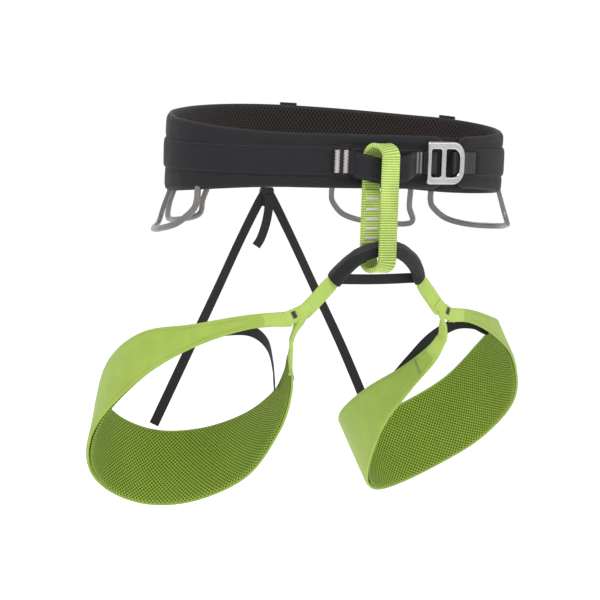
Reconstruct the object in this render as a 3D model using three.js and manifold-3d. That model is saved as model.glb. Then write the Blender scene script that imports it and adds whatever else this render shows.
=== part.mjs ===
// Climbing harness: padded waist belt, two padded leg loops, belay loop,
// covered crosspiece, four gear loops, waist buckle and elastic rear risers.
// Millimetres, +Z up, front faces -Y, wearer's left is +X.
// Origin: centre of the waist opening, mid height of the belt at the front.
import * as THREE from 'three';
import Module from 'manifold-3d';

const V = (x, y, z) => new THREE.Vector3(x, y, z);
const wasm = await Module();
wasm.setup();

// ---- driving dimensions -------------------------------------------------
const GAP = 0.4;              // clearance kept between neighbouring layers
const FRONT_HALF = 22.5;      // half height of the belt at the front
const SIDE_HALF = 35;         // half height of the belt at the sides
const BACK_HALF = 36.5;       // half height of the belt at the back
const BACK_RISE = 8;          // how far the back of the belt sits higher
const SHELL = 4;              // outer padded layer of the belt
const LINER = 4;              // inner mesh layer of the belt
const WEB_HALF = 11.5;        // half width of the waist webbing
const WEB_T = 1.8;            // thickness of the waist webbing
const WING_LEFT_END = 64;     // where the left wing ends, along the belt
const WING_RIGHT_START = 80;  // where the right wing starts
const BELAY_W = 17;           // belay loop webbing width
const BELAY_T = 4;            // belay loop webbing thickness
const BELAY_X = -14;          // sideways place of the belay loop
const BELAY_SKEW = 4;         // how far its front run sits to the left of that, and its rear run to the right
const LINK_W = 13;            // leg link webbing width
const LINK_T = 1.7;           // thickness of each leg link layer
const RISER_W = 9.5;          // elastic riser width
const RISER_T = 1.6;          // elastic riser thickness
const LOOP_BAR = 5.4;         // gear loop bar width
const LOOP_BAR_T = 4.4;       // gear loop bar thickness

// ---- colours ------------------------------------------------------------
const mat = (c, r, m = 0) => new THREE.MeshStandardMaterial({ color: c, roughness: r, metalness: m });
const BLACK_FABRIC = () => mat(0x1c1c1f, 0.85);
const BLACK_MESH = () => mat(0x2a2422, 0.95);
const BLACK_WEB = () => mat(0x121214, 0.8);
const GREY_WEB = () => mat(0x3a3b40, 0.75);
const LIME_FABRIC = () => mat(0xa9cf62, 0.8);
const LIME_MESH = () => mat(0x6f9a2c, 0.9);
const LIME_WEB = () => mat(0xa6d334, 0.75);
const GREY_PLASTIC = () => mat(0x6d6a69, 0.5);
const POLISHED = () => mat(0xc9c9c7, 0.25, 1);
const WHITE_THREAD = () => mat(0xe6e3e0, 0.7);

const group = new THREE.Group();
group.name = 'climbing_harness';

function add(name, geometry, material) {
  const mesh = new THREE.Mesh(geometry, material);
  mesh.name = name;
  group.add(mesh);
  return mesh;
}

// ---- mesh helpers -------------------------------------------------------
function solid(positions, faces) {
  let volume = 0;
  const a = V(0, 0, 0);
  for (const [i, j, k] of faces) {
    a.crossVectors(positions[j], positions[k]);
    volume += positions[i].dot(a);
  }
  const out = [];
  for (const [i, j, k] of faces) out.push(...(volume > 0 ? [i, j, k] : [i, k, j]));
  const g = new THREE.BufferGeometry();
  g.setAttribute('position', new THREE.Float32BufferAttribute(positions.flatMap((p) => [p.x, p.y, p.z]), 3));
  g.setIndex(out);
  g.computeVertexNormals();
  return g;
}

// A closed bar: section(t) gives a ring of points, swept over steps.
function sweep(section, steps, closed = false) {
  const rings = [];
  const count = closed ? steps : steps + 1;
  for (let i = 0; i < count; i += 1) rings.push(section(i / steps));
  const n = rings[0].length;
  const positions = rings.flat();
  const faces = [];
  for (let i = 0; i < steps; i += 1) {
    const a = i * n;
    const b = ((i + 1) % count) * n;
    for (let j = 0; j < n; j += 1) {
      const k = (j + 1) % n;
      faces.push([a + j, b + j, b + k], [a + j, b + k, a + k]);
    }
  }
  if (!closed) {
    for (let j = 1; j < n - 1; j += 1) {
      faces.push([0, j, j + 1]);
      faces.push([steps * n, steps * n + j + 1, steps * n + j]);
    }
  }
  return solid(positions, faces);
}

// Section of a strap: centre, width direction, thickness direction.
function flat(centre, across, out, width, t0, t1) {
  const h = width / 2;
  const p = (a, b) => centre.clone().addScaledVector(across, a).addScaledVector(out, b);
  return [p(-h, t0), p(h, t0), p(h, t1), p(-h, t1)];
}

function oval(centre, across, out, ra, rb, n = 12) {
  const ring = [];
  for (let i = 0; i < n; i += 1) {
    const a = (i / n) * Math.PI * 2;
    ring.push(centre.clone().addScaledVector(across, ra * Math.cos(a)).addScaledVector(out, rb * Math.sin(a)));
  }
  return ring;
}

// Band between two edge curves, layer from t0 to t1 off the middle surface.
function band(upper, lower, from, to, steps, outward, layer, closed = false) {
  return sweep((q) => {
    const t = from + (to - from) * q;
    const u = upper(t);
    const l = lower(t);
    const e = 0.004;
    const ahead = upper(t + e).add(lower(t + e)).sub(upper(t - e)).sub(lower(t - e)).normalize();
    const across = u.clone().sub(l);
    const normal = across.clone().cross(ahead).normalize();
    if (normal.dot(outward(t, u.clone().add(l).multiplyScalar(0.5))) < 0) normal.negate();
    const [t0, t1] = layer(t);
    const inset = Math.min(1.2, across.length() * 0.12);
    const dir = across.normalize();
    return [
      l.clone().addScaledVector(normal, t0), u.clone().addScaledVector(normal, t0),
      u.clone().addScaledVector(normal, t1 * 0.6 + t0 * 0.4).addScaledVector(dir, 0),
      u.clone().addScaledVector(normal, t1).addScaledVector(dir, -inset),
      l.clone().addScaledVector(normal, t1).addScaledVector(dir, inset),
      l.clone().addScaledVector(normal, t1 * 0.6 + t0 * 0.4),
    ];
  }, steps, closed);
}

// Strap along a curve with a fixed or varying width direction.
function strap(points, acrossAt, width, t0, t1, steps) {
  const curve = new THREE.CatmullRomCurve3(points, false, 'catmullrom', 0.5);
  return sweep((q) => {
    const p = curve.getPoint(q);
    const tangent = curve.getTangent(q);
    const across = acrossAt(q).clone();
    across.addScaledVector(tangent, -across.dot(tangent)).normalize();
    const out = tangent.clone().cross(across).normalize();
    return flat(p, across, out, width, t0, t1);
  }, steps);
}

function toManifold(g) {
  const p = g.attributes.position.array;
  return new wasm.Manifold(new wasm.Mesh({
    numProp: 3, vertProperties: new Float32Array(p), triVerts: new Uint32Array(g.index.array),
  }));
}

function fromManifold(m) {
  const mesh = m.getMesh();
  const g = new THREE.BufferGeometry();
  g.setAttribute('position', new THREE.Float32BufferAttribute(mesh.vertProperties, 3));
  g.setIndex(Array.from(mesh.triVerts));
  g.computeVertexNormals();
  return g;
}

// ---- plan of the waist belt ---------------------------------------------
const HALF_PLAN = [
  [0, -116], [58, -113], [111, -98], [145, -75], [158.5, -48], [157.5, -18],
  [143, 15], [120.5, 47.5], [91.5, 78], [50, 102.5], [0, 112],
];
const planPoints = HALF_PLAN.map(([x, y]) => V(x, y, 0))
  .concat(HALF_PLAN.slice(1, -1).reverse().map(([x, y]) => V(-x, y, 0)));
const plan = new THREE.CatmullRomCurve3(planPoints, true, 'catmullrom', 0.5);
plan.arcLengthDivisions = 800;
const GIRTH = plan.getLength();

const step = (x, a, b) => {
  const t = Math.min(1, Math.max(0, (x - a) / (b - a)));
  return t * t * (3 - 2 * t);
};
// share of the way from the front (0) to the back (1)
const share = (s) => Math.min(((s % GIRTH) + GIRTH) % GIRTH, GIRTH - ((s % GIRTH) + GIRTH) % GIRTH) / (GIRTH / 2);
const half = (s) => FRONT_HALF + (SIDE_HALF - FRONT_HALF) * step(share(s), 0.2, 0.62)
  + (BACK_HALF - SIDE_HALF) * step(share(s), 0.6, 1);
const mid = (s) => BACK_RISE * step(share(s), 0.35, 1);

function belt(s) {
  const u = (((s % GIRTH) + GIRTH) % GIRTH) / GIRTH;
  const p = plan.getPointAt(u);
  const t = plan.getTangentAt(u);
  return { p: V(p.x, p.y, mid(s)), along: V(t.x, t.y, 0).normalize(), out: V(t.y, -t.x, 0).normalize() };
}
const onBelt = (s, out, z) => {
  const f = belt(s);
  return f.p.clone().addScaledVector(f.out, out).add(V(0, 0, z));
};

// A layer wrapped on the belt from s0 to s1, between two heights.
function wrap(s0, s1, low, high, t0, t1, steps, bevel = 0.8) {
  return sweep((q) => {
    const s = s0 + (s1 - s0) * q;
    const f = belt(s);
    const lo = low(s, q);
    const hi = high(s, q);
    const a = t0(s, q);
    const b = t1(s, q);
    const p = (z, t) => f.p.clone().addScaledVector(f.out, t).add(V(0, 0, z));
    const c = Math.min(bevel, (hi - lo) * 0.2);
    const m = (b - a) * 0.45;
    return [p(lo, a), p(hi, a), p(hi, b - m), p(hi - c, b), p(lo + c, b), p(lo, b - m)];
  }, steps);
}
const k = (v) => () => v;

// ---- waist belt ---------------------------------------------------------
// wing tips are rounded: the height closes in over the last few millimetres
function tip(s) {
  const a = WING_RIGHT_START - GIRTH;
  const d = Math.min(WING_LEFT_END - s, s - a);
  const r = 14;
  return d >= r ? 1 : 0.55 + 0.45 * Math.sqrt(Math.max(0, 1 - ((r - d) / r) ** 2));
}

function buildBelt() {
  const s0 = WING_RIGHT_START - GIRTH;
  const s1 = WING_LEFT_END;
  const lo = (s) => -half(s) * tip(s);
  const hi = (s) => half(s) * tip(s);
  add('belt_shell', wrap(s0, s1, lo, hi, k(GAP / 2), k(SHELL), 72, 2.5), BLACK_FABRIC());
  add('belt_liner', wrap(s0, s1, (s) => lo(s) + 1.5, (s) => hi(s) - 1.5, k(-LINER), k(-GAP / 2), 72, 1), BLACK_MESH());
  add('buckle_flap', wrap(38, 112, (s, q) => -FRONT_HALF - 3 * Math.sin(Math.PI * q), k(FRONT_HALF - 1.5),
    k(-LINER - 3.4), k(-LINER - GAP), 14), BLACK_MESH());
  add('waist_webbing', wrap(WING_RIGHT_START + 24 - GIRTH, -36, k(-WEB_HALF), k(WEB_HALF),
    k(SHELL + GAP + 0.2), k(SHELL + GAP + WEB_T), 66, 0.5), BLACK_WEB());
  for (const [place, s] of [['rear', GIRTH / 2 - 24], ['side', 252]]) {
    add(`haul_tab_${place}`, wrap(s - 8, s + 8, (u) => half(u) - 14, (u) => half(u) + 2.5,
      k(SHELL + GAP), k(SHELL + GAP + 1.4), 3, 0.4), BLACK_WEB());
  }
}

// ---- tie-in loop and buckle side of the belt ----------------------------
const BUMP = SHELL + GAP + WEB_T + GAP;
const tieOut = (s) => BUMP + 9.6 * step(s, -36.5, -23) * (1 - step(s, 12, 29));
const tieDrop = (s) => -6.5 * Math.sin(Math.PI * step(s, -46, 34));

function buildTieIn() {
  const z = (d) => (s) => tieDrop(s) + d;
  add('tie_in_webbing', wrap(-52, 35, z(-WEB_HALF + 1.5), z(WEB_HALF - 1.5),
    tieOut, (s) => tieOut(s) + 1.8, 26, 0.4), BLACK_WEB());
  add('tie_in_guard', wrap(-34, 26, z(-WEB_HALF), z(WEB_HALF - 3),
    (s) => tieOut(s) + 1.8 + GAP, (s) => tieOut(s) + 3.4 + GAP, 18, 0.4), BLACK_FABRIC());
  const pad = SHELL + GAP;
  add('tie_in_base', wrap(-34, 35, k(-WEB_HALF), k(WEB_HALF), k(pad), k(pad + WEB_T), 12, 0.4), BLACK_WEB());
  add('tie_in_stitch_right', wrap(-51, -38, k(-10), k(10), k(BUMP + 1.8 + GAP), k(BUMP + 2.7 + GAP), 3, 0.2),
    WHITE_THREAD());
  add('tie_in_stitch_left', wrap(28.5, 34.5, k(-9.4), k(9.4), k(BUMP + 1.8 + GAP), k(BUMP + 2.7 + GAP), 2, 0.2),
    WHITE_THREAD());
}

// Buckle: a flat frame with two slots, standing on the belt over the gap.
const BUCKLE_S = 57.5;
const BUCKLE_W = 42;
const BUCKLE_H = 37;
const BUCKLE_T = 3.6;
const BUCKLE_OUT = SHELL + GAP + 4.2;

function plate(w, h, rLeft, rRight, thickness) {
  const s = new THREE.Shape();
  const a = w / 2;
  const b = h / 2;
  s.moveTo(-a + rLeft, -b);
  s.lineTo(a - rRight, -b);
  s.absarc(a - rRight, -b + rRight, rRight, -Math.PI / 2, 0, false);
  s.lineTo(a, b - rRight);
  s.absarc(a - rRight, b - rRight, rRight, 0, Math.PI / 2, false);
  s.lineTo(-a + rLeft, b);
  s.absarc(-a + rLeft, b - rLeft, rLeft, Math.PI / 2, Math.PI, false);
  s.lineTo(-a, -b + rLeft);
  s.absarc(-a + rLeft, -b + rLeft, rLeft, Math.PI, Math.PI * 1.5, false);
  const g = new THREE.ExtrudeGeometry(s, { depth: thickness, bevelEnabled: false, curveSegments: 6 });
  const m = g.toNonIndexed ? g : g;
  return m;
}

function weld(g) {
  const map = new Map();
  const pos = g.attributes.position;
  const verts = [];
  const index = [];
  for (let i = 0; i < pos.count; i += 1) {
    const key = [pos.getX(i), pos.getY(i), pos.getZ(i)].map((v) => Math.round(v * 1e4)).join(',');
    if (!map.has(key)) {
      map.set(key, verts.length / 3);
      verts.push(pos.getX(i), pos.getY(i), pos.getZ(i));
    }
    index.push(map.get(key));
  }
  const out = new THREE.BufferGeometry();
  out.setAttribute('position', new THREE.Float32BufferAttribute(verts, 3));
  out.setIndex(index);
  return out;
}

function buckleFrame() {
  const f = belt(BUCKLE_S);
  const frame = toManifold(weld(plate(BUCKLE_W, BUCKLE_H, 3.5, 11, BUCKLE_T)));
  const left = toManifold(weld(plate(11.6, 23.5, 1.2, 1.2, BUCKLE_T * 3))).translate([-11.2, 0, -BUCKLE_T]);
  const right = toManifold(weld(plate(16.4, 23.5, 1.2, 6.5, BUCKLE_T * 3))).translate([8, 0, -BUCKLE_T]);
  const cut = frame.subtract(left).subtract(right);
  const g = fromManifold(cut);
  const o = f.p.clone().addScaledVector(f.out, BUCKLE_OUT);
  const m = new THREE.Matrix4().makeBasis(f.along, V(0, 0, 1), f.out).setPosition(o);
  g.applyMatrix4(m);
  g.computeVertexNormals();
  return g;
}

function buildBuckle() {
  const f = belt(BUCKLE_S);
  const at = (x, z, t) => f.p.clone().addScaledVector(f.along, x).addScaledVector(f.out, t).add(V(0, 0, z));
  add('buckle_frame', buckleFrame(), POLISHED());
  // strap from the tie-in side: folds round the left bar and back under itself
  const c = BUCKLE_OUT;
  const T = 1.5;
  const route = [[-21.2, c - 2.5], [-19.5, c - 2.4], [-16, c - 2], [-12, c + 0.1], [-9.6, c + 2]];
  add('anchor_webbing', sweep((q) => {
    const i = q * (route.length - 1);
    const a = route[Math.floor(i)];
    const b = route[Math.min(route.length - 1, Math.floor(i) + 1)];
    const w = i - Math.floor(i);
    const x = a[0] + (b[0] - a[0]) * w;
    const t = a[1] + (b[1] - a[1]) * w;
    return [at(x, -9.6, t - T), at(x, 9.6, t - T), at(x, 9.6, t), at(x, -9.6, t)];
  }, 8), GREY_WEB());
  // strap from the wing: comes up through the right slot
  const wing = [[42, c - 3], [26, c - 2.4], [15.8, c - 2.2], [11.2, c - 0.6], [9.2, c + 2.4], [9.4, c + 4.2]];
  add('adjust_webbing', sweep((q) => {
    const i = q * (wing.length - 1);
    const a = wing[Math.floor(i)];
    const b = wing[Math.min(wing.length - 1, Math.floor(i) + 1)];
    const w = i - Math.floor(i);
    const x = a[0] + (b[0] - a[0]) * w;
    const t = a[1] + (b[1] - a[1]) * w;
    const s = BUCKLE_S + x;
    const g = belt(s);
    const bend = g.p.clone().addScaledVector(g.out, t);
    const flatP = at(x, 0, t);
    const mix = step(x, 16, 34);
    const p = flatP.lerp(bend, mix);
    const n = f.out.clone().lerp(g.out, mix).normalize();
    const lower = p.clone().add(V(0, 0, -9.6));
    const upper = p.clone().add(V(0, 0, 9.6));
    return [lower.clone().addScaledVector(n, -T), upper.clone().addScaledVector(n, -T), upper, lower];
  }, 15), GREY_WEB());
}

// ---- gear loops ---------------------------------------------------------
function gearLoop(name, s0, s1, cornerLow, drop) {
  // s0 < s1; the corner end has a tight bend, the other end a wide one
  const span = s1 - s0;
  const rest = 0.32;  // how far the loop leans outward as it drops
  const shape = [[0, 0], [0.03, 0.5], [0.0, 0.86], [0.07, 1.0], [0.3, 1.05], [0.62, 1.02],
    [0.84, 0.86], [0.96, 0.52], [0.98, 0.25], [0.97, 0]];
  const pts = shape.map(([a, b]) => {
    const u = cornerLow ? a : 1 - a;
    const s = s0 + span * u;
    const low = -(half(s)) - 2.2;
    return onBelt(s, 2.4 + drop * b * rest, low - drop * b);
  });
  const curve = new THREE.CatmullRomCurve3(pts, false, 'catmullrom', 0.4);
  add(name, sweep((q) => {
    const p = curve.getPoint(q);
    const t = curve.getTangent(q);
    const s = s0 + span * (cornerLow ? q : 1 - q);
    const across0 = belt(s).out.clone().add(V(0, 0, rest)).normalize();
    const across = across0.addScaledVector(t, -across0.dot(t)).normalize();
    const out = t.clone().cross(across).normalize();
    const ring = [];
    for (let i = 0; i < 8; i += 1) {
      const a = ((i + 0.5) / 8) * Math.PI * 2;
      ring.push(p.clone().addScaledVector(across, (LOOP_BAR_T / 2) * Math.cos(a) / Math.cos(Math.PI / 8))
        .addScaledVector(out, (LOOP_BAR / 2) * Math.sin(a) / Math.cos(Math.PI / 8)));
    }
    return ring;
  }, 24), GREY_PLASTIC());
}

function buildGearLoops() {
  gearLoop('gear_loop_front_left', 163, 268, true, 28);
  gearLoop('gear_loop_rear_left', 286, 366, true, 33);
  gearLoop('gear_loop_front_right', -268, -163, true, 31);
  gearLoop('gear_loop_rear_right', -366, -286, true, 31);
  for (const [name, s] of [['front_left', 215], ['rear_left', 326], ['front_right', -215], ['rear_right', -326]]) {
    const w = name.startsWith('front') ? 58 : 48;
    add(`gear_band_${name}`, wrap(s - w, s + w, (u) => -half(u) + 1.2, (u) => -half(u) + 11,
      k(SHELL + GAP), k(SHELL + GAP + 1.1), 12, 0.3), BLACK_WEB());
  }
}

// ---- belay loop ---------------------------------------------------------
const BELAY_TOP = 5;
const BELAY_LOW = -83;
const BELAY_R = 9.3;
const BELAY_Y = -136.5;
const belayX = (y) => BELAY_X - BELAY_SKEW * ((y - BELAY_Y) / BELAY_R);
function belayPath(q) {
  // closed stadium seen from the side, skewed in X, q runs from 0 to 1
  const straight = BELAY_TOP - BELAY_LOW;
  const arc = Math.PI * BELAY_R;
  const total = 2 * straight + 2 * arc;
  let d = (((q % 1) + 1) % 1) * total;
  if (d < straight) return [V(belayX(BELAY_Y - BELAY_R), BELAY_Y - BELAY_R, BELAY_TOP - d), V(0, -1, 0)];
  d -= straight;
  if (d < arc) {
    const a = d / BELAY_R;
    const y = BELAY_Y - BELAY_R * Math.cos(a);
    return [V(belayX(y), y, BELAY_LOW - BELAY_R * Math.sin(a)),
      V(0, -Math.cos(a), -Math.sin(a))];
  }
  d -= arc;
  if (d < straight) return [V(belayX(BELAY_Y + BELAY_R), BELAY_Y + BELAY_R, BELAY_LOW + d), V(0, 1, 0)];
  d -= straight;
  const a = d / BELAY_R;
  const y = BELAY_Y + BELAY_R * Math.cos(a);
  return [V(belayX(y), y, BELAY_TOP + BELAY_R * Math.sin(a)),
    V(0, Math.cos(a), Math.sin(a))];
}

function buildBelay() {
  const straight = BELAY_TOP - BELAY_LOW;
  const arc = Math.PI * BELAY_R;
  const total = 2 * straight + 2 * arc;
  // stops placed so that each straight run is one flat facet
  const stops = [];
  const push = (from, len, n) => {
    for (let i = 0; i < n; i += 1) stops.push((from + (len * i) / n) / total);
  };
  push(0, straight, 1);
  push(straight, arc, 12);
  push(straight + arc, straight, 1);
  push(2 * straight + arc, arc, 12);
  add('belay_loop', sweep((q) => {
    const [p, n] = belayPath(stops[Math.round(q * stops.length) % stops.length]);
    return flat(p, V(1, 0, 0), n, BELAY_W, -BELAY_T / 2, BELAY_T / 2);
  }, stops.length, true), LIME_WEB());
  add('belay_overlap', sweep((q) => {
    const z = -27 - 43 * q;
    return flat(V(belayX(BELAY_Y + BELAY_R), BELAY_Y + BELAY_R, z), V(1, 0, 0), V(0, -1, 0), BELAY_W - 1,
      BELAY_T / 2 + GAP, BELAY_T / 2 + GAP + 1.5);
  }, 1), LIME_WEB());
}

// ---- crosspiece ---------------------------------------------------------
const CROSS = [V(-44, -113, -104), V(-39, -122, -93), V(-31, -134.5, -80.5), V(-14, -136.8, -74.5),
  V(8, -134, -76), V(31, -122, -88), V(44, -113, -104)];

function buildCrosspiece() {
  const curve = new THREE.CatmullRomCurve3(CROSS, false, 'catmullrom', 0.5);
  const frame = (q) => {
    const p = curve.getPoint(q);
    const t = curve.getTangent(q);
    const across = V(0, 0, 1).addScaledVector(t, -t.z).normalize();
    const out = t.clone().cross(across).normalize();
    return { p, across, out };
  };
  const outer = sweep((q) => {
    const f = frame(0.02 + 0.96 * q);
    const flare = 1 + 0.18 * (1 - Math.sin(Math.PI * q));
    return oval(f.p, f.across, f.out, 6.6 * flare, 4.6, 12);
  }, 22);
  const inner = sweep((q) => {
    const f = frame(-0.01 + 1.02 * q < 0 ? 0 : Math.min(1, 1.02 * q - 0.01));
    return flat(f.p, f.across, f.out, 10, -2.2, 2.2);
  }, 22);
  add('crosspiece_sleeve', fromManifold(toManifold(outer).subtract(toManifold(inner))), BLACK_FABRIC());
  add('crosspiece_core', sweep((q) => {
    const f = frame(0.03 + 0.94 * q);
    return flat(f.p, f.across, f.out, 8.4, -1.5, 1.5);
  }, 22), LIME_WEB());
  add('keeper_strap', strap([V(-41, -107.6, -102.5), V(0, -110, -103), V(41, -107.6, -102.5)], () => V(0, 0, 1),
    9, -0.8, 0.8, 6), BLACK_WEB());
}

// ---- leg loops ----------------------------------------------------------
// upper and lower edges of the leg band, from the front join, round the
// outside of the thigh, across the back and up the inside to the join
const LEG_UPPER = [[79, -105, -130], [115, -87, -135], [153, -62, -145], [182, -26, -155], [192, 18, -182],
  [184, 60, -220], [156, 88, -248], [115, 95, -265], [78, 76, -262], [54, 35, -243], [50, -18, -214],
  [62, -62, -188], [73, -90, -164], [77.5, -103, -145]];
const LEG_LOWER = [[77, -106, -143], [113, -91, -147], [156, -70, -165], [192, -48, -193], [217, -14, -236],
  [209, 28, -279], [178, 62, -312], [134, 70, -331], [96, 44, -325], [66, 0, -296], [56, -42, -248],
  [63, -77, -208], [76, -99, -176], [81, -107, -148]];
const LEG_CENTRE = V(130, 0, -220);
const ARM_T = 2.0;
const PAD_T = 3.4;
const LEG_STEPS = 48;

function buildLeg(side, sx) {
  const mirror = (p) => V(p.x * sx, p.y, p.z);
  const curveOf = (pts) => new THREE.CatmullRomCurve3(pts.map(([x, y, z]) => V(x, y, z)), false, 'catmullrom', 0.5);
  const up = curveOf(LEG_UPPER);
  const low = curveOf(LEG_LOWER);
  const clamp = (t) => Math.min(1, Math.max(0, t));
  const U = (t) => mirror(up.getPoint(clamp(t)));
  const L = (t) => mirror(low.getPoint(clamp(t)));
  const outward = (t, p) => p.clone().sub(mirror(LEG_CENTRE)).setZ(0);
  const pad = (t) => step(t, 0.1, 0.32) * (1 - step(t, 0.76, 0.94));
  const at = (i) => 0.004 + 0.981 * (i / LEG_STEPS);
  add(`leg_shell_${side}`, band(U, L, at(0), at(LEG_STEPS), LEG_STEPS, outward,
    (t) => [GAP / 2, GAP / 2 + ARM_T + (PAD_T - ARM_T) * pad(t)]), LIME_FABRIC());
  add(`leg_liner_${side}`, band(U, L, at(5), at(LEG_STEPS - 4), LEG_STEPS - 9, outward,
    (t) => [-GAP / 2, -GAP / 2 - 1.2 - 1.8 * pad(t)]), LIME_MESH());
  const link = [V(45.4, -112.8, -105.4), V(57, -110.6, -118.4), V(68, -108.2, -130), V(76.8, -106, -136.2)].map(mirror);
  const wide = (q) => V(sx * (0.68 - 0.6 * q), 0.06 * q, 0.73);
  add(`leg_link_front_${side}`, strap(link, wide, LINK_W, sx * 0.2, sx * (0.2 + LINK_T), 8), LIME_WEB());
  add(`leg_link_back_${side}`, strap(link, wide, LINK_W, sx * (-0.2 - LINK_T), sx * -0.2, 8), LIME_WEB());
  const elastic = [[146, -62, -156], [128, -70, -150], [104, -76, -150], [84, -70, -163], [70, -56, -186],
    [61, -42, -206]].map(([x, y, z]) => mirror(V(x, y, z)));
  add(`leg_elastic_${side}`, strap(elastic, () => V(0, 0.25, 1), 10, -0.6, 0.6, 14), BLACK_WEB());
  const tack = 11.35 / 13;
  add(`leg_tack_${side}`, band((t) => U(t).lerp(L(t), 0.1), (t) => L(t).lerp(U(t), 0.1), tack - 0.006, tack + 0.006, 1,
    outward, (t) => [GAP / 2 + ARM_T + (PAD_T - ARM_T) * pad(t) + GAP, GAP / 2 + ARM_T + (PAD_T - ARM_T) * pad(t) + GAP + 0.7]),
  LIME_WEB());
}

function buildRiser(side, sx) {
  const mirror = (x, y, z) => V(x * sx, y, z);
  const pts = [mirror(6.5, 105.6, -43), mirror(28, 103, -85), mirror(54, 99, -135), mirror(84, 95, -192), mirror(118, 93.5, -258)];
  add(`riser_${side}`, strap(pts, () => V(1, 0, 0), RISER_W, -RISER_T / 2, RISER_T / 2, 20), BLACK_WEB());
}

function buildRiserHanger() {
  add('riser_hanger', strap([V(-2, 111.5, -29), V(-2, 108.5, -31.5), V(-2, 106.5, -35)], () => V(1, 0, 0),
    5, -0.8, 0.8, 4), BLACK_WEB());
  const bar = new THREE.BoxGeometry(15, 3, 3);
  const g = weld(bar.toNonIndexed());
  g.translate(0, 106, -38);
  g.computeVertexNormals();
  add('riser_bar', g, GREY_PLASTIC());
}

buildBelt();
buildTieIn();
buildBuckle();
buildGearLoops();
buildBelay();
buildCrosspiece();
buildLeg('left', 1);
buildLeg('right', -1);
buildRiser('left', 1);
buildRiser('right', -1);
buildRiserHanger();

export default group;
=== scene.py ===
"""Climbing harness: soft goods, webbing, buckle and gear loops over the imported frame."""
import math
import bpy
import numpy as np
from mathutils import Matrix, noise, Vector


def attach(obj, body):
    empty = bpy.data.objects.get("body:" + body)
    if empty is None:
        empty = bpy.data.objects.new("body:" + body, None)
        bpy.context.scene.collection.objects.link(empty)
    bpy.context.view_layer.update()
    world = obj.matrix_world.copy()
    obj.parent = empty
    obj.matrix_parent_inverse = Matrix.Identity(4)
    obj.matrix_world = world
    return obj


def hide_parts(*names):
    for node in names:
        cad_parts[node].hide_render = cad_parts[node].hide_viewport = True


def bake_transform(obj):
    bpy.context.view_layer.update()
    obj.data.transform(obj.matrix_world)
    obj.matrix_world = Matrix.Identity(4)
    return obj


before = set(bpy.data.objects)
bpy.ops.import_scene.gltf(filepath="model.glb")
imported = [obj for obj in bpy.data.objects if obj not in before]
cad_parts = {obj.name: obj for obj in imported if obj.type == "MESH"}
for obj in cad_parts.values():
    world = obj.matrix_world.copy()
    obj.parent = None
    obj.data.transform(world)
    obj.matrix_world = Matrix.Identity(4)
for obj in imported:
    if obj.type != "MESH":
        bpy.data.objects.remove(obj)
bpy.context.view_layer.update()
MM = 0.001
UP = np.array([0, 0, 1.0])

# ---- dimensions shared with the CAD part, in millimetres ----
GAP = 0.4
FRONT_HALF, SIDE_HALF, BACK_HALF, BACK_RISE = 22.5, 35.0, 36.5, 8.0
SHELL, LINER = 4.0, 4.0
WEB_HALF, WEB_T = 11.5, 1.8
WING_LEFT_END, WING_RIGHT_START = 64.0, 80.0
BELAY_W, BELAY_T, BELAY_X, BELAY_SKEW = 17.0, 4.0, -14.0, 4.0
BELAY_TOP, BELAY_LOW, BELAY_R, BELAY_Y = 5.0, -83.0, 9.3, -136.5
LINK_W, LINK_T = 13.0, 1.7
RISER_W, RISER_T = 9.5, 1.6
LOOP_BAR, LOOP_BAR_T = 5.4, 4.4
BUCKLE_S, BUCKLE_W, BUCKLE_H, BUCKLE_T = 57.5, 42.0, 37.0, 3.6
BUCKLE_OUT = SHELL + GAP + 4.2
BUMP = SHELL + GAP + WEB_T + GAP
HALF_PLAN = [(0, -116), (58, -113), (111, -98), (145, -75), (158.5, -48), (157.5, -18),
             (143, 15), (120.5, 47.5), (91.5, 78), (50, 102.5), (0, 112)]
LEG_UPPER = [(79, -105, -130), (115, -87, -135), (153, -62, -145), (182, -26, -155), (192, 18, -182),
             (184, 60, -220), (156, 88, -248), (115, 95, -265), (78, 76, -262), (54, 35, -243),
             (50, -18, -214), (62, -62, -188), (73, -90, -164), (77.5, -103, -145)]
LEG_LOWER = [(77, -106, -143), (113, -91, -147), (156, -70, -165), (192, -48, -193), (217, -14, -236),
             (209, 28, -279), (178, 62, -312), (134, 70, -331), (96, 44, -325), (66, 0, -296),
             (56, -42, -248), (63, -77, -208), (76, -99, -176), (81, -107, -148)]
LEG_CENTRE = (130, 0, -220)
CROSS = [(-44, -113, -104), (-39, -122, -93), (-31, -134.5, -80.5), (-14, -136.8, -74.5),
         (8, -134, -76), (31, -122, -88), (44, -113, -104)]


# ---- curves ----
def unit(v):
    return v / np.maximum(np.linalg.norm(v, axis=-1, keepdims=True), 1e-12)


def step(x, a, b):
    t = np.clip((np.asarray(x, float) - a) / (b - a), 0, 1)
    return t * t * (3 - 2 * t)


def catmull(points, t, closed=False):
    """Catmull-Rom through points, t from 0 to 1."""
    p = np.asarray(points, float)
    k = len(p)
    if closed:
        p = np.vstack([p[-1:], p, p[:2]])
        spans = k
    else:
        p = np.vstack([2 * p[0] - p[1], p, 2 * p[-1] - p[-2]])
        spans = k - 1
    x = np.clip(np.asarray(t, float), 0, 1) * spans
    i = np.minimum(x.astype(int), spans - 1)
    f = (x - i)[..., None]
    a, b, c, d = p[i], p[i + 1], p[i + 2], p[i + 3]
    return 0.5 * (2 * b + (c - a) * f + (2 * a - 5 * b + 4 * c - d) * f * f
                  + (3 * b - a - 3 * c + d) * f ** 3)


def along(path):
    """Unit tangents of a sampled path."""
    return unit(np.gradient(path, axis=0))


def lengths(path):
    return np.concatenate([[0], np.cumsum(np.linalg.norm(np.diff(path, axis=0), axis=1))])


def even(path, count):
    """The same path with evenly spaced points."""
    s = lengths(path)
    x = np.linspace(0, s[-1], count)
    return np.stack([np.interp(x, s, path[:, i]) for i in range(path.shape[1])], 1)


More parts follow.
